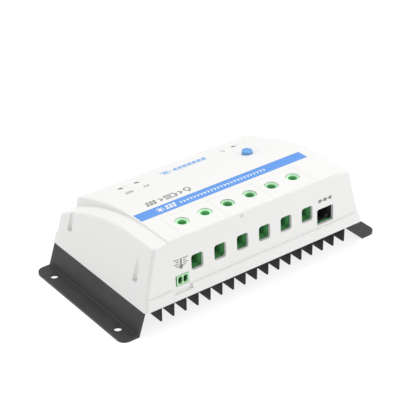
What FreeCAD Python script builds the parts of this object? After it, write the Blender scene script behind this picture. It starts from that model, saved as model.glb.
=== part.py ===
import FreeCAD, Part
import math
import os

# Solar charge controller: finned aluminium heat sink with a moulded cover.
# Millimetres. X runs along the case, -Y is the terminal side, +Z is up.
# The origin is the centre of the footprint, at the underside of the two mounting flanges.

V = FreeCAD.Vector

# Driving dimensions of the heat sink extrusion
sinkHalfY = 48.2
flangeReach = 100.9
flangeThick = 1.8
flangeCornerR = 5.5
wallFootX = 90.2
wallTopX = 85.6
rimZ = 16.3
wallThick = 2.1
plateBottomZ = 15.0
plateTopZ = 18.5
plateHalfX = 82.9
finCount = 17
finPitch = 9.03
finThick = 1.1
finMidX = -0.4
finBottomZ = 4.7
mountHoleX = 95.0
mountHoleY = 35.0
mountHoleR = 2.6

# Driving dimensions of the cover
skin = 2.0
endDraft = 0.252
bandHalfY = 50.8
bandDraft = 0.127
bandTopZ = 23.5
ledgeTopZ = 24.3
faceHalfY = 48.6
faceDraft = 0.066
cornerR = 2.5
panelZ = 56.7
panelFlatY = -20.0
panelArcR = 176.0
panelHalfX = 65.9
panelDraft = 0.11
shoulderInZ, shoulderInY, shoulderInR = 55.8, -29.0, 163.0
shoulderOutZ, shoulderOutY, shoulderOutR = 54.3, -24.0, 152.0
shoulderInX, shoulderOutX = 66.0, 77.6
bossX, bossY, bossR = 78.9, 35.0, 4.2
fluteX, fluteR, fluteLean = 81.7, 2.2, 0.1
fluteFloorZ = 29.5

# Boards
boardTopZ = 25.0
boardThick = 1.6
boardHalfX = 73.4
boardFrontY, boardBackY = -45.9, 44.0
panelBoardZ = 38.0
panelBoardHalfX = 54.0
panelBoardFrontY, panelBoardBackY = 5.0, 40.5
panelPostX, panelPostFrontY, panelPostBackY = 50.5, 8.5, 37.5
standoffX, standoffY = 68.0, 38.0

# Power transistors lie flat on the heat sink, under the board
transistorX = [-55, -33, -11, 11, 33, 55]
transistorY = 18.0
tabHoleY = transistorY + 12.6
padThick = 0.2

# Power terminals: six in a row, in three two-way blocks
wayPitch = 17.1
rowCentreX = -2.85
wayX = [rowCentreX + wayPitch * (i - 2.5) for i in range(6)]
screwY = -33.0
accessHoleR = 4.45
windowWide, windowHigh, windowMidZ, windowCornerR = 8.8, 10.3, 36.3, 1.8
blockWide = 30.4
blockTopZ, collarTopZ = 53.2, 56.2
blockGap = 0.9
blockBackY = -24.0
collarR, driverBoreR = 4.1, 2.75
headR, headBottomZ, headTopZ = 3.2, 49.0, 51.4
shankR = 2.5
cavityHalfX, cavityFrontY, cavityBackY = 5.2, -38.4, -27.2
cavityBottomZ, cavityTopZ = 30.2, 47.7
barHalfX, barBottomZ, barThick = 3.6, 38.6, 1.5
cageTravel = 4.8

# Small ports on the front face
comX, comWide, comBottomZ, comTopZ = 54.8, 13.4, 25.2, 36.3
jackHalfX, jackTopZ = 7.5, 38.2
sensorX, sensorWide, sensorHigh = -56.7, 8.6, 6.4
notchLeftX, notchRightX, notchBottomZ = -64.2, -50.5, 20.2

# Lamps and button on the panel
ledY = 33.5
ledX = {"charge_led": -44.1, "battery_led": -31.9, "load_led": 45.9}
ledHoleR, ledDishR, ledDishDeep = 1.9, 4.2, 1.1
buttonX, buttonY, buttonR, buttonHoleR, buttonProud = 40.6, 12.7, 3.5, 3.75, 2.2


def box(x0, x1, y0, y1, z0, z1):
    return Part.makeBox(x1 - x0, y1 - y0, z1 - z0, V(x0, y0, z0))


def rod(x, y, z0, z1, r):
    return Part.makeCylinder(r, z1 - z0, V(x, y, z0))


def prismX(points, x0, x1):
    wire = Part.makePolygon([V(x0, y, z) for y, z in points + points[:1]])
    return Part.Face(wire).extrude(V(x1 - x0, 0, 0))


def prismY(points, y0, y1):
    wire = Part.makePolygon([V(x, y0, z) for x, z in points + points[:1]])
    return Part.Face(wire).extrude(V(0, y1 - y0, 0))


def fuse(solids):
    return solids[0].fuse(solids[1:]).removeSplitter()


def group(solids):
    return Part.makeCompound(solids)


def corners(x, y):
    return [(sx * x, sy * y) for sx in (-1, 1) for sy in (-1, 1)]


def circles(solid):
    return [e for e in solid.Edges if e.Length > 0.1 and e.Curve.TypeId == "Part::GeomCircle"]


def roundUpright(solid, r):
    """Rounds the edges that run mostly upwards, such as a case's four corners."""
    picked = []
    for e in solid.Edges:
        d = e.Vertexes[-1].Point - e.Vertexes[0].Point
        if d.Length > 2 and abs(d.z) > 0.9 * d.Length:
            picked.append(e)
    return solid.makeFillet(r, picked)


def roundAlongY(solid, r):
    """Rounds the four long edges of a window cutter that runs along Y."""
    picked = []
    for e in solid.Edges:
        d = e.Vertexes[-1].Point - e.Vertexes[0].Point
        if abs(d.y) > 0.9 * d.Length:
            picked.append(e)
    return solid.makeFillet(r, picked)


def arcDrop(y, flatY, r):
    """How far a roof that leaves level at flatY on radius r has fallen at y."""
    return r - math.sqrt(r * r - (y - flatY) ** 2) if y > flatY else 0.0


def panelTop(y):
    return panelZ - arcDrop(y, panelFlatY, panelArcR)


def roofWire(x, level, flatY, r, backY=60.0, frontY=-60.0):
    """Closed YZ outline at x: level roof, then an arc that falls towards the back."""
    def at(y):
        return V(x, y, level - arcDrop(y, flatY, r))
    a, b, c = at(flatY), at((flatY + backY) / 2), at(backY)
    edges = [
        Part.makeLine(V(x, frontY, 0), V(x, frontY, level)),
        Part.makeLine(V(x, frontY, level), a),
        Part.Arc(a, b, c).toShape(),
        Part.makeLine(c, V(x, backY, 0)),
        Part.makeLine(V(x, backY, 0), V(x, frontY, 0)),
    ]
    return Part.Wire(edges)


def frustum(halfY0, halfY1, z0, z1, inset):
    """Block between z0 and z1 with drafted ends and faces, its upright corners rounded."""
    def halfX(z):
        return wallTopX - endDraft * (z - rimZ) - inset
    def ring(h, z):
        x = halfX(z)
        pts = [V(-x, -h, z), V(x, -h, z), V(x, h, z), V(-x, h, z), V(-x, -h, z)]
        return Part.makePolygon(pts)
    solid = Part.makeLoft([ring(halfY0 - inset, z0), ring(halfY1 - inset, z1)], True, True)
    return roundUpright(solid, max(cornerR - inset, 1.0))


def roundRim(solid, r, fromX=-200.0):
    """Rounds each edge right of fromX where an upward face meets a steep one."""
    picked = []
    for e in solid.Edges:
        if e.Length < 0.5:
            continue
        mid = e.valueAt((e.FirstParameter + e.LastParameter) / 2)
        slopes = []
        for f in solid.ancestorsOfType(e, Part.Face):
            u, v = f.Surface.parameter(mid)
            slopes.append(f.normalAt(u, v).z)
        if len(slopes) == 2 and max(slopes) > 0.6 and abs(min(slopes)) < 0.5 and mid.x > fromX:
            picked.append(e)
    return solid.makeFillet(r, picked)


def caseVolume(inset, floorZ=rimZ):
    """The cover's outline moved in by inset: the outside at 0, the hollow at the skin."""
    bandZ = bandTopZ - inset
    band = frustum(bandHalfY - bandDraft * (floorZ - rimZ),
                   bandHalfY - bandDraft * (bandZ - rimZ), floorZ, bandZ, inset)
    footZ, skyZ = bandZ - 1.5, 60.0
    upper = frustum(faceHalfY - faceDraft * (footZ - ledgeTopZ),
                    faceHalfY - faceDraft * (skyZ - ledgeTopZ), footZ, skyZ, inset)
    lean = [(panelHalfX + panelDraft * (panelZ - z) - inset, z) for z in (20.0, skyZ)]
    sides = prismY(lean + [(-x, z) for x, z in reversed(lean)], -70, 70)
    roof = Part.Face(roofWire(-75, panelZ - inset, panelFlatY, panelArcR - inset))
    panel = upper.common(roof.extrude(V(150, 0, 0)).common(sides))
    wires = []
    for x in (64.0, 90.0):
        k = (x - shoulderInX) / (shoulderOutX - shoulderInX)
        wires.append(roofWire(x, shoulderInZ + k * (shoulderOutZ - shoulderInZ) - inset,
                              shoulderInY + k * (shoulderOutY - shoulderInY),
                              shoulderInR + k * (shoulderOutR - shoulderInR) - inset))
    right = upper.common(Part.makeLoft(wires, True, True))
    middle = upper.common(Part.Face(wires[0]).extrude(V(-128, 0, 0)))
    if inset == 0:
        band = roundRim(band, 1.2)
        panel = roundRim(panel, 0.9)
        right = roundRim(right, 1.3, 66.0)
    return band.fuse([middle, right, right.mirror(V(0, 0, 0), V(1, 0, 0)), panel])


def heatSink():
    half = [(0, plateTopZ), (plateHalfX, plateTopZ), (plateHalfX, rimZ), (wallTopX, rimZ),
            (wallFootX, flangeThick), (flangeReach, flangeThick), (flangeReach, 0)]
    slope = (wallFootX - wallTopX) / (rimZ - flangeThick)
    innerFoot = wallFootX + slope * flangeThick - wallThick
    innerTop = innerFoot - slope * plateBottomZ
    half += [(innerFoot, 0), (innerTop, plateBottomZ), (0, plateBottomZ)]
    right = prismY(half, -sinkHalfY, sinkHalfY)
    picked = []
    for e in right.Edges:
        p = e.valueAt((e.FirstParameter + e.LastParameter) / 2)
        foot = abs(p.x - wallFootX) < 0.1 and abs(p.z - flangeThick) < 0.1
        root = abs(p.x - innerTop) < 0.1 and abs(p.z - plateBottomZ) < 0.1
        if abs(p.y) < 1 and (foot or root):
            picked.append(e)
    right = right.makeFillet(0.8, picked)
    tips = []
    for e in right.Edges:
        p = e.valueAt((e.FirstParameter + e.LastParameter) / 2)
        if p.x > flangeReach - 0.1 and abs(p.y) > sinkHalfY - 0.1:
            tips.append(e)
    right = right.makeFillet(flangeCornerR, tips)
    body = [right, right.mirror(V(0, 0, 0), V(1, 0, 0))]
    for i in range(finCount):
        x = finMidX + (i - (finCount - 1) / 2) * finPitch
        body.append(box(x - finThick / 2, x + finThick / 2, -sinkHalfY, sinkHalfY,
                        finBottomZ, plateBottomZ + 0.5))
    sink = fuse(body)
    holes = [rod(x, y, -1, 3, mountHoleR) for x, y in corners(mountHoleX, mountHoleY)]
    holes += [rod(x, y, 14, 20, 1.7) for x, y in corners(bossX, bossY)]
    holes += [rod(x, y, 15.8, 20, 1.3) for x, y in corners(standoffX, standoffY)]
    holes += [rod(x, tabHoleY, 15.8, 20, 1.5) for x in transistorX]
    return sink.cut(holes)


def coverShell():
    shell = caseVolume(0).cut(caseVolume(skin, rimZ - 2))
    outside = caseVolume(0)
    def leaning(sx, y, z0, r):
        return Part.makeCylinder(r, 34, V(sx * (fluteX + fluteLean * (fluteFloorZ - z0)), y, z0),
                                 V(-sx * fluteLean, 0, 1))
    ends = [(sx, y) for sx in (-1, 1) for y in (-bossY, bossY)]
    posts = [rod(x, y, plateTopZ + 0.05, fluteFloorZ, bossR) for x, y in corners(bossX, bossY)]
    posts += [leaning(sx, y, fluteFloorZ - 2, fluteR + 1.8) for sx, y in ends]
    shell = shell.fuse([p.common(outside) for p in posts])
    cuts = [leaning(sx, y, fluteFloorZ, fluteR) for sx, y in ends]
    cuts += [rod(x, y, 17, 27.5, 1.5) for x, y in corners(bossX, bossY)]
    cuts += [rod(x, screwY, 45, 60, accessHoleR) for x in wayX]
    half = windowWide / 2
    for x in wayX:
        cuts.append(roundAlongY(box(x - half, x + half, -55, -40, windowMidZ - windowHigh / 2,
                                    windowMidZ + windowHigh / 2), windowCornerR))
    cuts.append(roundAlongY(box(comX - comWide / 2, comX + comWide / 2, -55, -40,
                                comBottomZ, comTopZ), 1.2))
    cuts.append(box(sensorX - sensorWide / 2 - 0.9, sensorX + sensorWide / 2 + 0.3, -55, -40,
                    boardTopZ - 0.4, boardTopZ + sensorHigh + 0.35))
    cuts.append(prismX([(-55, notchBottomZ), (-faceHalfY - 0.35, notchBottomZ),
                        (-faceHalfY, ledgeTopZ + 0.1), (-55, ledgeTopZ + 0.1)],
                       notchLeftX, notchRightX))
    for x in ledX.values():
        z = panelTop(ledY)
        lean = math.degrees(math.asin((ledY - panelFlatY) / panelArcR))
        cuts.append(rod(x, ledY, z - 6, z + 6, ledHoleR))
        dish = Part.makeCone(ledHoleR, ledDishR + 1.2, ledDishDeep + 0.5, V(x, ledY, z - ledDishDeep))
        pocket = rod(x, ledY, z - 5, z - ledDishDeep - 0.45, ledHoleR + 1.1)
        for shape in (dish, pocket):
            shape.rotate(V(x, ledY, z), V(1, 0, 0), -lean)
            cuts.append(shape)
    z = panelTop(buttonY)
    lean = math.asin((buttonY - panelFlatY) / panelArcR)
    cuts.append(rod(buttonX, buttonY, z - 6, z + 6, buttonHoleR))
    bowlR, bowlDeep = 90.0, 0.55
    up = V(0, math.sin(lean), math.cos(lean))
    cuts.append(Part.makeSphere(bowlR, V(buttonX, buttonY, z) + up * (bowlR - bowlDeep)))
    return shell.cut(cuts)


def terminalBlock(pair):
    """Two-way green housing: funnelled wire mouths, cage cavities and driver collars."""
    mid = (wayX[pair * 2] + wayX[pair * 2 + 1]) / 2
    def frontY(z):
        return -faceHalfY + faceDraft * (z - ledgeTopZ) + skin + blockGap
    shape = prismX([(frontY(boardTopZ), boardTopZ), (frontY(blockTopZ), blockTopZ),
                    (blockBackY, blockTopZ), (blockBackY, boardTopZ)],
                   mid - blockWide / 2, mid + blockWide / 2)
    ways = wayX[pair * 2:pair * 2 + 2]
    shape = shape.fuse([rod(x, screwY, blockTopZ - 1, collarTopZ, collarR) for x in ways])
    cuts = []
    for x in ways:
        mouthY, throatY = -46.9, -42.6
        z0, z1 = windowMidZ - windowHigh / 2 - 0.2, windowMidZ + windowHigh / 2 + 0.2
        wide = windowWide / 2 + 0.2
        def ring(h, a, b, y):
            return Part.makePolygon([V(x - h, y, a), V(x + h, y, a), V(x + h, y, b),
                                     V(x - h, y, b), V(x - h, y, a)])
        cuts.append(Part.makeLoft([ring(wide, z0, z1, mouthY),
                                   ring(3.5, 32.0, 40.6, throatY)], True, True))
        cuts.append(box(x - 3.5, x + 3.5, throatY - 0.01, cavityFrontY + 0.01, 32.0, 40.6))
        cuts.append(box(x - cavityHalfX, x + cavityHalfX, cavityFrontY, cavityBackY,
                        cavityBottomZ, cavityTopZ))
        cuts.append(box(x - barHalfX - 0.05, x + barHalfX + 0.05, cavityBackY - 0.01,
                        blockBackY + 0.01, barBottomZ - 0.05, barBottomZ + barThick + 0.05))
        cuts.append(rod(x, screwY, cavityTopZ - 0.01, headBottomZ + 0.01, shankR + 0.05))
        cuts.append(rod(x, screwY, headBottomZ, headTopZ + 0.4, headR + 0.05))
        cuts.append(rod(x, screwY, headTopZ + 0.39, collarTopZ + 0.01, driverBoreR))
        cuts.append(Part.makeCone(driverBoreR, driverBoreR + 0.6, 0.61,
                                  V(x, screwY, collarTopZ - 0.6)))
    return shape.cut(cuts)


def terminalBars():
    bars = []
    for x in wayX:
        top = box(x - barHalfX, x + barHalfX, cavityFrontY, blockBackY + 1.6,
                  barBottomZ, barBottomZ + barThick)
        leg = box(x - barHalfX, x + barHalfX, blockBackY + 0.1, blockBackY + 1.6,
                  boardTopZ, barBottomZ + 0.1)
        bars.append(fuse([top, leg]))
    return group(bars)


def clampCage(x):
    y0, y1 = cavityFrontY + 0.2, cavityBackY - 0.2
    outer = box(x - 5.0, x + 5.0, y0, y1, cavityBottomZ + 0.15, 42.7)
    hollow = box(x - 3.9, x + 3.9, y0 - 1, y1 + 1, 31.75, 40.4)
    return outer.cut([hollow, rod(x, screwY, 40, 43, shankR + 0.05)])


def terminalScrew(x):
    shape = rod(x, screwY, headBottomZ, headTopZ, headR).fuse(
        rod(x, screwY, barBottomZ + barThick + 0.05, headBottomZ, shankR))
    shape = shape.removeSplitter()
    rim = [e for e in circles(shape) if e.valueAt(0).z > headTopZ - 0.1]
    shape = shape.makeChamfer(0.35, rim)
    slots = [box(x - 0.55, x + 0.55, screwY - 2.3, screwY + 2.3, headTopZ - 1.5, headTopZ + 1),
             box(x - 2.3, x + 2.3, screwY - 0.55, screwY + 0.55, headTopZ - 1.5, headTopZ + 1)]
    return shape.cut(slots)


def sensorSocket():
    half = sensorWide / 2
    shell = box(sensorX - half, sensorX + half, -48.5, -38.0, boardTopZ, boardTopZ + sensorHigh)
    cuts = []
    for x in (sensorX - 1.905, sensorX + 1.905):
        z0, z1 = boardTopZ + 0.7, boardTopZ + sensorHigh - 0.7
        key = [(x - 0.8, z0), (x + 0.8, z0), (x + 1.6, z0 + 0.9), (x + 1.6, z1 - 0.9),
               (x + 0.8, z1), (x - 0.8, z1), (x - 1.6, z1 - 0.9), (x - 1.6, z0 + 0.9)]
        cuts.append(prismY(key, -49, -40.5))
        cuts.append(box(x - 0.5, x + 0.5, -41, -37, boardTopZ + 2.9, boardTopZ + 3.9))
    return shell.cut(cuts)


def sensorPins():
    pins = []
    for x in (sensorX - 1.905, sensorX + 1.905):
        pins.append(fuse([
            box(x - 0.5, x + 0.5, -44.5, -37.0, boardTopZ + 2.9, boardTopZ + 3.9),
            box(x - 0.5, x + 0.5, -37.9, -36.9, boardTopZ, boardTopZ + 3.9)]))
    return group(pins)


def comJack():
    """Modular socket for an eight-way plug, mouth towards the front, latch slot at the bottom."""
    shape = box(comX - jackHalfX, comX + jackHalfX, -44.6, -29.0, boardTopZ, jackTopZ)
    mouth = box(comX - 5.95, comX + 5.95, -46, -32.5, 28.0, 35.0)
    latch = [box(comX - 3.1, comX + 3.1, -46, -34, 26.6, 28.1),
             box(comX - 1.9, comX + 1.9, -46, -34, 25.8, 28.1)]
    lane = [box(x - 0.36, x + 0.36, -45.5, -32.5, 34.9, 36.4) for x in contactX()]
    return shape.cut([mouth] + latch + lane)


def contactX():
    return [comX + 1.016 * (i - 3.5) for i in range(8)]


def comContacts():
    """Eight sprung gold wires that slope down from the roof of the socket into its mouth."""
    wires = []
    for x in contactX():
        wires.append(prismX([(-43.6, 35.6), (-43.6, 36.1), (-42.6, 36.1), (-34.4, 33.0),
                             (-34.4, 32.4), (-42.8, 35.6)], x - 0.22, x + 0.22))
    return group(wires)


def buttonCap():
    top = panelTop(buttonY) + buttonProud
    crown = 14.0
    stem = rod(buttonX, buttonY, 48.9, top, buttonR)
    dome = Part.makeSphere(crown, V(buttonX, buttonY, top - crown))
    shape = stem.common(dome.fuse(rod(buttonX, buttonY, 40, top - 2, buttonR + 1)))
    shape = fuse([shape, rod(buttonX, buttonY, 48.0, 49.3, buttonR + 1.2),
                  rod(buttonX, buttonY, 44.6, 48.1, 2.2)])
    return shape.makeFillet(0.5, [e for e in circles(shape) if e.valueAt(0).z > top - 1])


def tactSwitch():
    z = panelBoardZ + boardThick
    shape = box(buttonX - 3, buttonX + 3, buttonY - 3, buttonY + 3, z, z + 3.4)
    return shape.cut(rod(buttonX, buttonY, z + 1.2, z + 4, 1.8))


def switchPlunger():
    z = panelBoardZ + boardThick
    return rod(buttonX, buttonY, z + 1.9, 44.6, 1.75)


def lamp(x):
    z = panelBoardZ + boardThick + 2.8
    top = panelTop(ledY) - 1.1
    body = rod(x, ledY, z, top - 1.5, 1.5).fuse(Part.makeSphere(1.5, V(x, ledY, top - 1.5)))
    return fuse([body, rod(x, ledY, z, z + 1.0, 1.9)])


def lampSpacers():
    z = panelBoardZ + boardThick
    return group([rod(x, ledY, z, z + 2.8, 2.1) for x in ledX.values()])


def panScrew(x, y, seatZ, length, r=1.45, headRadius=2.75, headHigh=2.0, up=1):
    """Pan-head screw: up=1 has its head above the seat, up=-1 below it."""
    head = rod(x, y, min(seatZ, seatZ + up * headHigh), max(seatZ, seatZ + up * headHigh), headRadius)
    shank = rod(x, y, min(seatZ, seatZ - up * length), max(seatZ, seatZ - up * length), r)
    face = seatZ + up * headHigh
    head = head.makeFillet(0.7, [e for e in circles(head) if abs(e.valueAt(0).z - face) < 0.01])
    z0, z1 = min(face, face - up * 1.1), max(face, face - up * 1.1)
    cross = [box(x - 0.4, x + 0.4, y - 1.5, y + 1.5, z0, z1),
             box(x - 1.5, x + 1.5, y - 0.4, y + 0.4, z0, z1)]
    return head.fuse(shank).removeSplitter().cut(cross)


def mainBoard():
    z0, z1 = boardTopZ - boardThick, boardTopZ
    board = box(-boardHalfX, boardHalfX, boardFrontY, boardBackY, z0, z1)
    holes = [rod(x, y, z0 - 1, z1 + 1, 1.6) for x, y in corners(standoffX, standoffY)]
    holes += [rod(x, tabHoleY, z0 - 1, z1 + 1, 3.4) for x in transistorX]
    holes += [rod(x, y, z0 - 1, z1 + 1, 1.3) for x, y in panelPosts()]
    return board.cut(holes)


def hexPost(x, y, z0, z1, acrossFlats, boreR):
    r = acrossFlats / math.sqrt(3)
    pts = [V(x + r * math.cos(math.radians(60 * k)), y + r * math.sin(math.radians(60 * k)), z0)
           for k in range(7)]
    solid = Part.Face(Part.makePolygon(pts)).extrude(V(0, 0, z1 - z0))
    return solid.cut(rod(x, y, z0 - 1, z1 + 1, boreR))


def panelPosts():
    return [(sx * panelPostX, y) for sx in (-1, 1) for y in (panelPostFrontY, panelPostBackY)]


def panelBoard():
    z0, z1 = panelBoardZ, panelBoardZ + boardThick
    board = box(-panelBoardHalfX, panelBoardHalfX, panelBoardFrontY, panelBoardBackY, z0, z1)
    return board.cut([rod(x, y, z0 - 1, z1 + 1, 1.3) for x, y in panelPosts()])


def transistor(x):
    """Flat power package: metal tab down on its pad, body above it, three legs forward."""
    y, z = transistorY, plateTopZ + padThick
    tab = box(x - 5.0, x + 5.0, y, y + 15.6, z, z + 1.3).cut(
        rod(x, tabHoleY, z - 1, z + 3, 1.8))
    body = box(x - 5.0, x + 5.0, y, y + 9.2, z + 1.2, z + 4.4)
    legs = []
    for dx in (-2.54, 0, 2.54):
        legs.append(box(x + dx - 0.4, x + dx + 0.4, y - 4.0, y + 0.5, z + 2.3, z + 2.9))
        legs.append(box(x + dx - 0.4, x + dx + 0.4, y - 4.0, y - 3.4, z + 2.3, boardTopZ - boardThick))
    return fuse([tab, body] + legs)


def electrolytic(x, y):
    can = rod(x, y, boardTopZ, boardTopZ + 25, 8.0)
    return can.makeFillet(0.8, circles(can))


def shunt():
    outer = box(22, 46, -14.5, -8.5, boardTopZ, boardTopZ + 4.5)
    return outer.cut(box(24, 44, -15, -8, boardTopZ - 1, boardTopZ + 3))


def diode(x):
    body = Part.makeCylinder(2.65, 9.5, V(x, -13, boardTopZ + 2.8), V(0, 1, 0))
    leads = [box(x - 0.5, x + 0.5, -16.5, 0.0, boardTopZ + 2.3, boardTopZ + 3.3)]
    leads += [box(x - 0.5, x + 0.5, y, y + 1, boardTopZ, boardTopZ + 3.3) for y in (-16.5, -1.0)]
    return fuse([body] + leads)


def controlChip():
    body = box(-6, 6, 16, 28, boardTopZ + 0.15, boardTopZ + 1.65)
    legs = []
    for i in range(16):
        p = -5.0 + i * (10.0 / 15)
        for s in (-1, 1):
            x0, x1 = sorted((s * 5.9, s * 7.2))
            legs.append(box(x0, x1, 22 + p - 0.15, 22 + p + 0.15, boardTopZ, boardTopZ + 0.5))
            legs.append(box(p - 0.15, p + 0.15, 22 + x0, 22 + x1, boardTopZ, boardTopZ + 0.5))
    return fuse([body] + legs)


nodes = {
    "heat_sink": heatSink(),
    "top_cover": coverShell(),
    "main_board": mainBoard(),
    "board_standoffs": group([hexPost(x, y, plateTopZ, boardTopZ - boardThick, 5.5, 1.3)
                              for x, y in corners(standoffX, standoffY)]),
    "board_screws": group([panScrew(x, y, boardTopZ, 8.0, 1.25)
                           for x, y in corners(standoffX, standoffY)]),
    "cover_screws": group([panScrew(x, y, plateBottomZ, 11.5, up=-1)
                           for x, y in corners(bossX, bossY)]),
    "terminal_bars": terminalBars(),
    "sensor_socket": sensorSocket(),
    "sensor_pins": sensorPins(),
    "com_jack": comJack(),
    "com_contacts": comContacts(),
    "button_cap": buttonCap(),
    "switch_plunger": switchPlunger(),
    "button_switch": tactSwitch(),
    "lamp_spacers": lampSpacers(),
    "panel_board": panelBoard(),
    "panel_board_posts": group([hexPost(x, y, boardTopZ, panelBoardZ, 5.0, 1.25)
                                for x, y in panelPosts()]),
    "panel_board_screws": group([panScrew(x, y, panelBoardZ + boardThick, 7.0, 1.2, 2.4, 1.6)
                                 for x, y in panelPosts()]),
    "link_header": box(-12.7, 12.7, 8.7, 11.3, boardTopZ, boardTopZ + 2.5),
    "link_pins": group([box(x - 0.32, x + 0.32, 9.68, 10.32, boardTopZ + 2.5, panelBoardZ)
                        for x in [2.54 * (i - 4.5) for i in range(10)]]),
    "insulating_pad": box(-62, 62, transistorY - 1, transistorY + 17, plateTopZ,
                          plateTopZ + padThick).cut(
        [rod(x, tabHoleY, 18, 20, 1.8) for x in transistorX]),
    "power_transistors": group([transistor(x) for x in transistorX]),
    "transistor_screws": group([panScrew(x, tabHoleY, plateTopZ + 1.5, 4.0)
                                for x in transistorX]),
    "capacitor_left": electrolytic(-14.5, -9.0),
    "capacitor_right": electrolytic(8.5, -9.0),
    "current_shunt": shunt(),
    "surge_diodes": group([diode(x) for x in (-48, -38, -28)]),
    "control_chip": controlChip(),
}
for i, name in enumerate(("solar", "battery", "load")):
    nodes["terminal_block_" + name] = terminalBlock(i)
for i, x in enumerate(wayX, 1):
    nodes["clamp_cage_%d" % i] = clampCage(x)
    nodes["terminal_screw_%d" % i] = terminalScrew(x)
for name, x in ledX.items():
    nodes[name] = lamp(x)

os.makedirs("parts", exist_ok=True)
for name, shape in nodes.items():
    if not shape.isValid():
        print("not valid:", name)
    shape.exportStep("parts/%s.step" % name)
print(len(nodes), "nodes")
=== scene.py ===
import math

import bpy
import numpy as np
from mathutils import Matrix, Vector


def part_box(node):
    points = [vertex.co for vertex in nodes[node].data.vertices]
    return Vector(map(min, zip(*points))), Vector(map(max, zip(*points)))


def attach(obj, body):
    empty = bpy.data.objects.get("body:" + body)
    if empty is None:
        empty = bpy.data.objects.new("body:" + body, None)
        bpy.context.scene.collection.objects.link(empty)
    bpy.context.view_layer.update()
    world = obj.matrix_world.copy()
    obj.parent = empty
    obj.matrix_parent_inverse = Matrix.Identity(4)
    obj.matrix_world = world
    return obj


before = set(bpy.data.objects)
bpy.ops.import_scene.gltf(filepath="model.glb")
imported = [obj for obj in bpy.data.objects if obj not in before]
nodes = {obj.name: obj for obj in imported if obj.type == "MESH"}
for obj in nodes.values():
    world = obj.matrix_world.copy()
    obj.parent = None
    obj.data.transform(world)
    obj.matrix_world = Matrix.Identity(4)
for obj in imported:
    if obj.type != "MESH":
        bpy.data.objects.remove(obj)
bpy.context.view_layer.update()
print("frame loaded:", len(nodes), "nodes")

mm = 0.001
coverLow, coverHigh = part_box("top_cover")


def newMaterial(name, colour, roughness, metallic=0.0, coat=0.0):
    mat = bpy.data.materials.new(name)
    mat.use_nodes = True
    tree = mat.node_tree
    bsdf = tree.nodes["Principled BSDF"]
    bsdf.inputs["Base Color"].default_value = (*colour, 1)
    bsdf.inputs["Roughness"].default_value = roughness
    bsdf.inputs["Metallic"].default_value = metallic
    bsdf.inputs["Coat Weight"].default_value = coat
    coords = tree.nodes.new("ShaderNodeTexCoord")
    return mat, tree, bsdf, coords.outputs["Object"]


def addNoise(tree, source, scale, detail=3.0, rough=0.5, stretch=(1, 1, 1)):
    place = tree.nodes.new("ShaderNodeMapping")
    place.inputs["Scale"].default_value = stretch
    tree.links.new(source, place.inputs["Vector"])
    noise = tree.nodes.new("ShaderNodeTexNoise")
    noise.inputs["Scale"].default_value = scale
    noise.inputs["Detail"].default_value = detail
    noise.inputs["Roughness"].default_value = rough
    tree.links.new(place.outputs["Vector"], noise.inputs["Vector"])
    return noise.outputs["Fac"]


def addRamp(tree, source, low, high, start=0.3, end=0.7):
    ramp = tree.nodes.new("ShaderNodeMapRange")
    ramp.inputs["From Min"].default_value = start
    ramp.inputs["From Max"].default_value = end
    ramp.inputs["To Min"].default_value = low
    ramp.inputs["To Max"].default_value = high
    tree.links.new(source, ramp.inputs["Value"])
    return ramp.outputs["Result"]


def addMix(tree, factor, first, second):
    mix = tree.nodes.new("ShaderNodeMix")
    mix.data_type = "RGBA"
    for key, value in (("A", first), ("B", second)):
        if isinstance(value, tuple):
            mix.inputs[key].default_value = (*value, 1)
        else:
            tree.links.new(value, mix.inputs[key])
    tree.links.new(factor, mix.inputs["Factor"])
    return mix.outputs["Result"]


def addBump(tree, source, bsdf, strength, distance):
    bump = tree.nodes.new("ShaderNodeBump")
    bump.inputs["Strength"].default_value = strength
    bump.inputs["Distance"].default_value = distance
    tree.links.new(source, bump.inputs["Height"])
    if bsdf.inputs["Normal"].is_linked:
        tree.links.new(bsdf.inputs["Normal"].links[0].from_socket, bump.inputs["Normal"])
    tree.links.new(bump.outputs["Normal"], bsdf.inputs["Normal"])


def shade(colour, factor):
    return tuple(min(1.0, c * factor) for c in colour)


# A moulded or sprayed finish: cloudy colour, uneven gloss and a fine grain in the surface.
# Each stage is (axis, from, to, colour): along that axis the colour turns into the stage's,
# painting light or shade by position.
def grained(name, colour, roughness, grain=900, depth=0.00004, strength=0.25, spread=0.05,
            glossSpread=0.08, coat=0.0, stretch=(1, 1, 1), metallic=0.0, cloud=60, paintedLightStages=()):
    mat, tree, bsdf, coords = newMaterial(name, colour, roughness, metallic, coat)
    patch = addRamp(tree, addNoise(tree, coords, cloud, 4), 0, 1)
    tone = addMix(tree, patch, shade(colour, 1 - spread), shade(colour, 1 + spread))
    # painted light and shade: each stage lightens or darkens the colour by position along one axis
    for axis, start, end, far in paintedLightStages:
        parts = tree.nodes.new("ShaderNodeSeparateXYZ")
        tree.links.new(coords, parts.inputs["Vector"])
        along = addRamp(tree, parts.outputs[axis], 0, 1, start * mm, end * mm)
        paintedStageTone = addMix(tree, patch, shade(far, 1 - 3 * spread), shade(far, 1 + 3 * spread))
        tone = addMix(tree, along, tone, paintedStageTone)
    tree.links.new(tone, bsdf.inputs["Base Color"])
    fine = addNoise(tree, coords, grain, 2, 0.6, stretch)
    gloss = addRamp(tree, fine, roughness - glossSpread, roughness + glossSpread)
    tree.links.new(gloss, bsdf.inputs["Roughness"])
    addBump(tree, fine, bsdf, strength, depth)
    return mat
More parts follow.
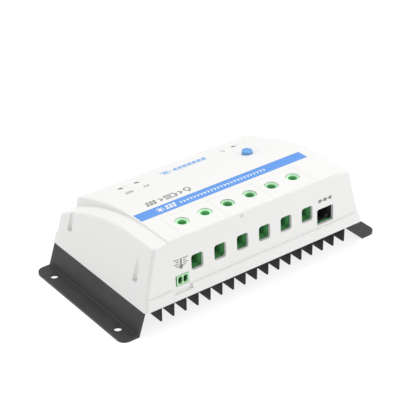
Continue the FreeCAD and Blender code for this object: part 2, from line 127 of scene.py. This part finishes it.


# Spark-eroded mould texture: two sizes of grain
def mouldedCover(colour, roughness):
    mat, tree, bsdf, coords = newMaterial("coverWhite", colour, roughness)
    patch = addRamp(tree, addNoise(tree, coords, 45, 4), 0, 1)
    speck = addRamp(tree, addNoise(tree, coords, 1400, 2, 0.7), 0, 1, 0.35, 0.65)
    tone = addMix(tree, patch, shade(colour, 0.992), shade(colour, 1.008))
    tone = addMix(tree, speck, tone, shade(colour, 0.975))
    tree.links.new(tone, bsdf.inputs["Base Color"])
    fine = addNoise(tree, coords, 1900, 2, 0.6)
    coarse = addNoise(tree, coords, 620, 2, 0.5)
    tree.links.new(addRamp(tree, coarse, roughness - 0.07, roughness + 0.07),
                   bsdf.inputs["Roughness"])
    addBump(tree, coarse, bsdf, 0.22, 0.00006)
    addBump(tree, fine, bsdf, 0.3, 0.00004)
    return mat


# Black anodised extrusion: drawing lines along Y, a faint mottle, lighter where it is rubbed,
# and painted shade between the walls (|x| under the given half-width), standing for the shade in
# the fin gaps
def anodised(colour, roughness, paintedShadeHalfX, finPaintedShade, sheen):
    mat, tree, bsdf, coords = newMaterial("sinkBlack", colour, roughness, 0.2)
    bsdf.inputs["Specular IOR Level"].default_value = sheen
    mottle = addRamp(tree, addNoise(tree, coords, 55, 5, 0.6), 0, 1)
    lines = addNoise(tree, coords, 900, 3, 0.6, (1, 0.012, 1))
    speck = addRamp(tree, addNoise(tree, coords, 1500, 1), 0, 1, 0.62, 0.75)
    tone = addMix(tree, mottle, shade(colour, 0.88), shade(colour, 1.12))
    tone = addMix(tree, speck, tone, shade(colour, 1.5))
    parts = tree.nodes.new("ShaderNodeSeparateXYZ")
    tree.links.new(coords, parts.inputs["Vector"])
    away = tree.nodes.new("ShaderNodeMath")
    away.operation = "ABSOLUTE"
    tree.links.new(parts.outputs["X"], away.inputs[0])
    # painted shade: between the walls the fins are darkened to stand for the shade between them
    outsideFinShade = addRamp(tree, away.outputs["Value"], 0, 1, paintedShadeHalfX * mm, (paintedShadeHalfX + 1.5) * mm)
    tone = addMix(tree, outsideFinShade, shade(colour, finPaintedShade), tone)
    tree.links.new(tone, bsdf.inputs["Base Color"])
    tree.links.new(addRamp(tree, lines, roughness - 0.09, roughness + 0.09),
                   bsdf.inputs["Roughness"])
    addBump(tree, lines, bsdf, 0.35, 0.00003)
    addBump(tree, addNoise(tree, coords, 1600, 2), bsdf, 0.25, 0.00003)
    return mat


# Solder mask over copper: tracks are the walls between cells of a chequered cell pattern
def soldered(colour, roughness):
    mat, tree, bsdf, coords = newMaterial("boardGreen", colour, roughness, 0.0, 0.25)
    cells = tree.nodes.new("ShaderNodeTexVoronoi")
    cells.distance = "CHEBYCHEV"
    cells.feature = "F1"
    cells.inputs["Scale"].default_value = 190
    cells.inputs["Randomness"].default_value = 0.75
    tree.links.new(coords, cells.inputs["Vector"])
    track = addRamp(tree, cells.outputs["Distance"], 0, 1, 0.36, 0.44)
    tree.links.new(addMix(tree, track, shade(colour, 1.25), shade(colour, 0.7)),
                   bsdf.inputs["Base Color"])
    addBump(tree, track, bsdf, 0.3, 0.00004)
    return mat


materials = {
    "coverWhite": mouldedCover((0.80, 0.795, 0.787), 0.46),
    # the heat sink gets painted shade on its fins between the end walls
    "sinkBlack": anodised((0.041, 0.041, 0.0435), 0.47, paintedShadeHalfX=82.0, finPaintedShade=0.12, sheen=0.34),
    # painted light: the terminal blocks are lighter towards their tops where the collars are lit,
    # and darker below as painted shade in the front windows
    "terminalGreen": grained("terminalGreen", (0.10, 0.39, 0.135), 0.4, 1200, 0.00003, 0.3, 0.08,
                             paintedLightStages=(("Z", 46, 51, (0.20, 0.60, 0.25)),
                                     ("Z", 55.3, 56.05, (0.50, 0.86, 0.53)))),
    # painted shade: the sensor socket turns dark green going back into its window in the cover
    "sensorGreen": grained("sensorGreen", (0.46, 0.80, 0.47), 0.4, 1200, 0.00003, 0.3, 0.05,
                           paintedLightStages=(("Y", -48.3, -46.6, (0.05, 0.24, 0.075)),)),
    "boardGreen": soldered((0.07, 0.42, 0.13), 0.35),
    "blackPlastic": grained("blackPlastic", (0.032, 0.032, 0.034), 0.36, 1200, 0.00003, 0.3, 0.2),
    "nylonWhite": grained("nylonWhite", (0.72, 0.7, 0.64), 0.45, 900, 0.00003, 0.3, 0.04),
    "buttonBlue": grained("buttonBlue", (0.13, 0.335, 0.70), 0.34, 1300, 0.00005, 0.5, 0.07,
                          cloud=500),
    "zincSteel": grained("zincSteel", (0.55, 0.55, 0.53), 0.3, 900, 0.00003, 0.3, 0.12, 0.1,
                         metallic=1.0),
    "brassBar": grained("brassBar", (0.72, 0.55, 0.28), 0.32, 900, 0.00003, 0.3, 0.12, 0.1,
                        metallic=1.0),
    "goldWire": grained("goldWire", (0.86, 0.62, 0.25), 0.25, 1500, 0.00001, 0.2, 0.06,
                        metallic=1.0),
    "padGrey": grained("padGrey", (0.35, 0.35, 0.37), 0.8, 1500, 0.00005, 0.5, 0.08),
    "sleeveBlue": grained("sleeveBlue", (0.02, 0.035, 0.1), 0.3, 400, 0.00002, 0.2, 0.1, coat=0.3),
    "shuntAlloy": grained("shuntAlloy", (0.42, 0.36, 0.3), 0.38, 900, 0.00003, 0.4, 0.1, 0.1,
                          stretch=(0.05, 1, 1), metallic=1.0),
    "lampClear": grained("lampClear", (0.035, 0.07, 0.04), 0.3, 600, 0.00001, 0.1, 0.1, coat=0.15),
}

finishOf = {
    "top_cover": "coverWhite", "heat_sink": "sinkBlack",
    "terminal_block_solar": "terminalGreen", "terminal_block_battery": "terminalGreen",
    "terminal_block_load": "terminalGreen", "sensor_socket": "sensorGreen",
    "main_board": "boardGreen", "panel_board": "boardGreen",
    "com_jack": "blackPlastic", "button_switch": "blackPlastic", "switch_plunger": "blackPlastic",
    "link_header": "blackPlastic", "power_transistors": "blackPlastic",
    "surge_diodes": "blackPlastic", "control_chip": "blackPlastic",
    "lamp_spacers": "nylonWhite", "panel_board_posts": "nylonWhite",
    "button_cap": "buttonBlue", "board_screws": "zincSteel", "cover_screws": "zincSteel",
    "panel_board_screws": "zincSteel", "transistor_screws": "zincSteel",
    "board_standoffs": "brassBar", "terminal_bars": "brassBar", "sensor_pins": "brassBar",
    "com_contacts": "goldWire", "link_pins": "goldWire", "insulating_pad": "padGrey",
    "capacitor_left": "sleeveBlue", "capacitor_right": "sleeveBlue",
    "current_shunt": "shuntAlloy", "charge_led": "lampClear", "battery_led": "lampClear",
    "load_led": "lampClear",
}
for name, node in nodes.items():
    finish = finishOf.get(name) or "zincSteel"  # the rest are clamp screws and cages
    node.data.materials.clear()
    node.data.materials.append(materials[finish])
print("finishes given to", len(nodes), "nodes")


# Every printed mark is made of strips: a strip has the points path(t) + s * width / 2 across
# the path, for s = -1 and 1, widened at a bend by one over the cosine of half its angle.
def strip(path, width, closed=False):
    path = np.asarray(path, float)
    if closed:
        ahead, behind = np.roll(path, -1, 0), np.roll(path, 1, 0)
    else:
        ahead = np.vstack([path[1:], 2 * path[-1:] - path[-2:-1]])
        behind = np.vstack([2 * path[:1] - path[1:2], path[:-1]])
    into, away = path - behind, ahead - path
    into = into / np.linalg.norm(into, axis=1)[:, None]
    away = away / np.linalg.norm(away, axis=1)[:, None]
    along = into + away
    along = along / np.maximum(np.linalg.norm(along, axis=1), 1e-9)[:, None]
    across = np.stack([-along[:, 1], along[:, 0]], 1)
    lean = np.clip((along * into).sum(1), 0.45, 1)
    half = (width / 2 / lean)[:, None] * across
    count = len(path)
    first = np.arange(count if closed else count - 1)
    after = (first + 1) % count
    quads = np.stack([2 * first + 1, 2 * first, 2 * after, 2 * after + 1], 1)
    return np.stack([path - half, path + half], 1).reshape(-1, 2), quads


# Straight runs from point to point, cut finely enough to follow the roof: p = a (1 - t) + b t
def bent(points, width, closed=False, pitch=0.7):
    points = [np.array(p, float) for p in points]
    if closed:
        points.append(points[0])
    runs = []
    for a, b in zip(points[:-1], points[1:]):
        count = max(1, int(np.linalg.norm(b - a) / pitch))
        t = np.arange(count)[:, None] / count
        runs.append(a * (1 - t) + b * t)
    if not closed:
        runs.append(points[-1][None])
    return strip(np.vstack(runs), width, closed)


def line(a, b, width, pitch=0.7):
    return bent([a, b], width, pitch=pitch)


# x = cx + r cos(a), y = cy + r sin(a), for a from start to end in degrees
def arc(cx, cy, r, start, end, width, count=24):
    closed = abs(end - start) >= 360
    a = np.radians(np.linspace(start, end, count + 1 if closed else count))
    a = a[:-1] if closed else a
    return strip(np.stack([cx + r * np.cos(a), cy + r * np.sin(a)], 1), width, closed)


# A ring so wide that it closes at its middle
def disc(cx, cy, r):
    return arc(cx, cy, r * 0.505, 0, 360, r * 0.99)


def moved(parts, dx, dy):
    return [(grid + np.array([dx, dy]), quads) for grid, quads in parts]


# Lays flat strips on the cover: onTop puts (x, y) on the roof, else (x, z) on the front face
def printOn(name, parts, ink, onTop=True, lift=0.02):
    grids, quads, base = [], [], 0
    for grid, quad in parts:
        grids.append(grid)
        quads.append(quad + base)
        base += len(grid)
    flat = np.vstack(grids) * mm
    far = np.full(len(flat), coverHigh.z + 5 * mm if onTop else coverLow.y - 5 * mm)
    pts = np.stack([flat[:, 0], flat[:, 1], far] if onTop else [flat[:, 0], far, flat[:, 1]], 1)
    mesh = bpy.data.meshes.new(name)
    mesh.from_pydata(pts.tolist(), [], np.vstack(quads).tolist())
    piece = bpy.data.objects.new(name, mesh)
    bpy.context.scene.collection.objects.link(piece)
    wrap = piece.modifiers.new("settle", "SHRINKWRAP")
    wrap.target = nodes["top_cover"]
    wrap.wrap_method = "PROJECT"
    wrap.use_project_y, wrap.use_project_z = not onTop, onTop
    wrap.use_positive_direction, wrap.use_negative_direction = not onTop, onTop
    wrap.wrap_mode = "ABOVE_SURFACE"
    wrap.offset = lift * mm
    view = bpy.context.evaluated_depsgraph_get()
    settled = bpy.data.meshes.new_from_object(piece.evaluated_get(view))
    piece.modifiers.clear()
    piece.data = settled
    settled.materials.clear()
    settled.materials.append(ink)
    settled.polygons.foreach_set("use_smooth", np.ones(len(settled.polygons), bool))
    film = piece.modifiers.new("film", "SOLIDIFY")
    film.thickness = 0.02 * mm
    film.offset = 1
    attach(piece, "housing")
    return piece


def ink(name, colour, roughness=0.42, spread=0.03):
    return grained(name, colour, roughness, 1500, 0.00003, 0.3, spread, 0.05)


inks = {
    "blue": ink("inkBlue", (0.094, 0.286, 0.735), spread=0.012),
    "sky": ink("inkSky", (0.17, 0.41, 0.80)),
    "grey": ink("inkGrey", (0.235, 0.262, 0.238)),
    "white": ink("inkWhite", (0.88, 0.9, 0.93), spread=0.01),
    "pale": ink("inkPale", (0.70, 0.698, 0.69), 0.5),
    "gate": ink("gateMark", (0.66, 0.65, 0.64), 0.3),
}

# A patch is the grid point(u, v) = (left + u * width, front + v * depth), u and v from 0 to 1
def patch(left, right, front, back, pitch):
    xs = np.linspace(left, right, max(2, round((right - left) / pitch) + 1))
    ys = np.linspace(front, back, max(2, round((back - front) / pitch) + 1))
    gx, gy = np.meshgrid(xs, ys)
    first = (np.arange(len(ys) - 1)[:, None] * len(xs) + np.arange(len(xs) - 1)[None]).ravel()
    quads = np.stack([first, first + 1, first + 1 + len(xs), first + len(xs)], 1)
    return np.stack([gx.ravel(), gy.ravel()], 1), quads


# Blue band across the roof, fine enough to follow the arch
band = {"left": -64.9, "right": 63.8, "front": -19.3, "back": -10.5, "pitch": 1.1}
printOn("print_band", [patch(*band.values())], inks["blue"])


def sunSign(r, width, rays=8):
    parts = [disc(0, 0, r)]
    for k in range(rays):
        c, s = math.cos(math.tau / rays * k), math.sin(math.tau / rays * k)
        parts.append(line((c * r * 1.4, s * r * 1.4), (c * r * 2.1, s * r * 2.1), width))
    return parts


# A solar panel drawn as leaning solid cells: each cell is one strip from its foot to its head
def panelSign(w, h, columns, rows=1, gap=0.5, lean=0.3):
    cellW, cellH = (w - gap * (columns - 1)) / columns, (h - gap * (rows - 1)) / rows
    parts = []
    for k in range(columns * rows):
        x = -w / 2 + cellW / 2 + (k % columns) * (cellW + gap)
        y = -h / 2 + (k // columns) * (cellH + gap)
        quad = np.array([[x - cellW / 2 + y * lean, y], [x + cellW / 2 + y * lean, y],
                         [x + cellW / 2 + (y + cellH) * lean, y + cellH],
                         [x - cellW / 2 + (y + cellH) * lean, y + cellH]])
        parts.append((quad, np.array([[0, 1, 2, 3]])))
    return parts


def batterySign(w, h, width, bars=3):
    parts = [bent([(-w / 2, -h / 2), (w / 2, -h / 2), (w / 2, h / 2), (-w / 2, h / 2)],
                  width, True),
             line((w / 2 + width, -h * 0.22), (w / 2 + width, h * 0.22), width)]
    room = w - 2 * width
    for k in range(bars - 1):
        x = -room / 2 + room * (k + 0.5) / bars
        parts.append(line((x, -h / 2 + width), (x, h / 2 - width), room / bars * 0.62))
    return parts


def lampSign(r, width):
    return [arc(0, r * 0.35, r, -50, 230, width),
            line((-r * 0.6, -r * 0.75), (r * 0.6, -r * 0.75), width),
            line((-r * 0.4, -r * 1.2), (r * 0.4, -r * 1.2), width * 0.8)]


def chevron(h, width):
    return [bent([(-h * 0.28, h / 2), (h * 0.28, 0), (-h * 0.28, -h / 2)], width)]


# White signs on the band: a sun and a panel, then a run of small arrowheads for the current
flow = {"y": -14.9, "sunX": -48.3, "panelX": -40.6, "firstX": -33.2, "step": 2.58, "count": 26}
signs = moved(sunSign(1.3, 0.75), flow["sunX"], flow["y"])
signs += moved(panelSign(7.4, 4.4, 3, 2, 0.55), flow["panelX"], flow["y"])
for k in range(flow["count"]):
    signs += moved(chevron(2.3, 0.72), flow["firstX"] + k * flow["step"], flow["y"] - 0.3)
printOn("print_band_signs", signs, inks["white"], lift=0.05)

# Large sun and solar panel in the middle of the roof
emblem = {"x": 2.3, "y": 29.6, "sun": 1.9, "panel": 25.5}
mark = moved(sunSign(emblem["sun"], 0.95, 8), emblem["x"] - 14.6, emblem["y"])
mark += moved(panelSign(emblem["panel"], 4.0, 7, 1, 0.85, 0.45), emblem["x"] + 4.4, emblem["y"])
mark.append(line((emblem["x"] - 8.6, emblem["y"] - 3.0), (emblem["x"] + 16.6, emblem["y"] - 3.0),
                 0.5))
printOn("print_sun_mark", mark, inks["sky"])

# Grey row over the band: panel, battery and lamp with arrowheads between them
row = {"y": -4.5, "places": (-47.6, -40.4, -33.4, -25.8, -20.2)}
grey = []
for x, sign in zip(row["places"], [panelSign(7.2, 4.9, 3, 2, 0.6), chevron(3.6, 1.15),
                                   batterySign(7.2, 4.4, 0.95), chevron(3.6, 1.15),
                                   lampSign(2.0, 1.0)]):
    grey += moved(sign, x, row["y"])

# Small signs beside the three lamps
grey += moved([line((x, -1.8), (x + 1.0, 1.8), 0.75) for x in (-3.1, -1.7, -0.3, 1.1)], -46.2, 19.7)
grey += moved([line((-2.2, -0.5), (2.2, -0.5), 1.0), line((-1.2, 0.9), (0.2, 0.9), 1.0),
               line((1.2, 0.9), (2.4, 0.9), 1.0)], -34.1, 19.7)
grey += moved(lampSign(1.1, 0.42), 33.9, 29.4)
printOn("print_roof_signs", grey, inks["grey"])

# Front face: a thermometer over the sensor header, linked boxes over the data socket
probe = {"x": -57.4, "z": 39.3}
thermo = [disc(0, -2.3, 1.45), line((0, -2.0), (0, 3.3), 1.25)]
thermo += [line((side * 1.5, z), (side * length, z), 0.62) for side in (-1, 1)
           for z, length in ((3.0, 5.2), (1.5, 3.7), (0.0, 5.2), (-1.5, 3.7))]
data = {"x": 54.7, "z": 41.9}
linked = [line((x - 1.1, 0), (x + 1.1, 0), 2.3) for x in (-4.3, 0, 4.3)]
linked.append(line((-4.3, 0), (4.3, 0), 0.6))
printOn("print_front_signs", moved(thermo, probe["x"], probe["z"])
        + moved(linked, data["x"], data["z"]), inks["grey"], onTop=False)

# Faint boxes that pair the six terminals, and the mark the mould's gate left on the front
pairs = {"pitch": 17.1, "centre": -2.85, "front": -46.0, "back": -23.6, "width": 0.2}
boxes = []
for k in range(4):
    x = pairs["centre"] + 2 * pairs["pitch"] * (k - 1.5)
    boxes.append(line((x, pairs["front"]), (x, pairs["back"]), pairs["width"], 1.0))
reach = 3 * pairs["pitch"]
left, far = pairs["centre"] - reach, pairs["centre"] + reach
boxes.append(line((left, pairs["back"]), (far, pairs["back"]), pairs["width"], 1.0))
printOn("print_pair_lines", boxes, inks["pale"])
gate = {"x": -11.2, "z": 54.0, "r": 1.15}
printOn("gate_mark", [disc(*gate.values())], inks["gate"], onTop=False)
print("printed marks settled on the cover")

studio = {"azimuth": -37.117, "elevation": 30.729, "roll": -0.301, "distance": 887.9,
          "aimX": -0.57, "aimUp": 25.0, "slideRight": -5.311, "slideUp": 12.146, "lens": 126.24}
a, e, roll = (math.radians(studio[k]) for k in ("azimuth", "elevation", "roll"))
back = Vector((math.sin(a) * math.cos(e), -math.cos(a) * math.cos(e), math.sin(e)))
right = (-back).cross(Vector((0, 0, 1))).normalized()
up = right.cross(-back)
camera = bpy.data.objects.new("camera", bpy.data.cameras.new("camera"))
bpy.context.scene.collection.objects.link(camera)
camera.data.lens = studio["lens"]
camera.data.sensor_width = 36.0
camera.data.clip_start, camera.data.clip_end = 0.05, 20.0
aim = Vector((studio["aimX"], 0, studio["aimUp"]))
aim += right * studio["slideRight"] + up * studio["slideUp"]
camera.location = (aim + back * studio["distance"]) * mm
turn = (-back).to_track_quat("-Z", "Y").to_matrix().to_4x4()
camera.rotation_euler = (turn @ Matrix.Rotation(roll, 4, "Z")).to_euler()
bpy.context.scene.camera = camera

# Pale table that is lit softly from inside, flat at z = 0 on a square grid
table = {"half": 3.0, "colour": (0.27, 0.27, 0.27), "glow": 0.81}
half = table["half"]
grid, quads = patch(-half, half, -half, half, half / 4)
floorMesh = bpy.data.meshes.new("floor")
floorMesh.from_pydata(np.pad(grid, ((0, 0), (0, 1))).tolist(), [], quads.tolist())
floor = bpy.data.objects.new("floor", floorMesh)
bpy.context.scene.collection.objects.link(floor)
pale = grained("floorPale", table["colour"], 0.9, 40, 0.0001, 0.1, 0.002, 0.02)
pale.node_tree.nodes["Principled BSDF"].inputs["Emission Color"].default_value = (1, 1, 1, 1)
pale.node_tree.nodes["Principled BSDF"].inputs["Emission Strength"].default_value = table["glow"]
floorMesh.materials.append(pale)

light = {"room": 0.64,
         "overPanel": ((0.35, 0.3, 1.55), 1.3, 14.6),
         "rightPanel": ((1.0, -0.85, 0.45), 0.8, 5.3),
         "leftPanel": ((-1.05, 0.75, 0.45), 0.8, 2.9)}
world = bpy.data.worlds.new("world")
world.use_nodes = True
world.node_tree.nodes["Background"].inputs["Color"].default_value = (1, 1, 1, 1)
world.node_tree.nodes["Background"].inputs["Strength"].default_value = light["room"]
bpy.context.scene.world = world


def softLight(name, place, size, power):
    panel = bpy.data.lights.new(name, "AREA")
    panel.shape = "SQUARE"
    panel.size = size
    panel.energy = power
    holder = bpy.data.objects.new(name, panel)
    holder.location = place
    holder.rotation_euler = (-Vector(place)).to_track_quat("-Z", "Y").to_euler()
    bpy.context.scene.collection.objects.link(holder)


for panelName in ("overPanel", "rightPanel", "leftPanel"):
    softLight(panelName, *light[panelName])
bpy.context.scene.view_settings.view_transform = "Standard"
print("studio ready")
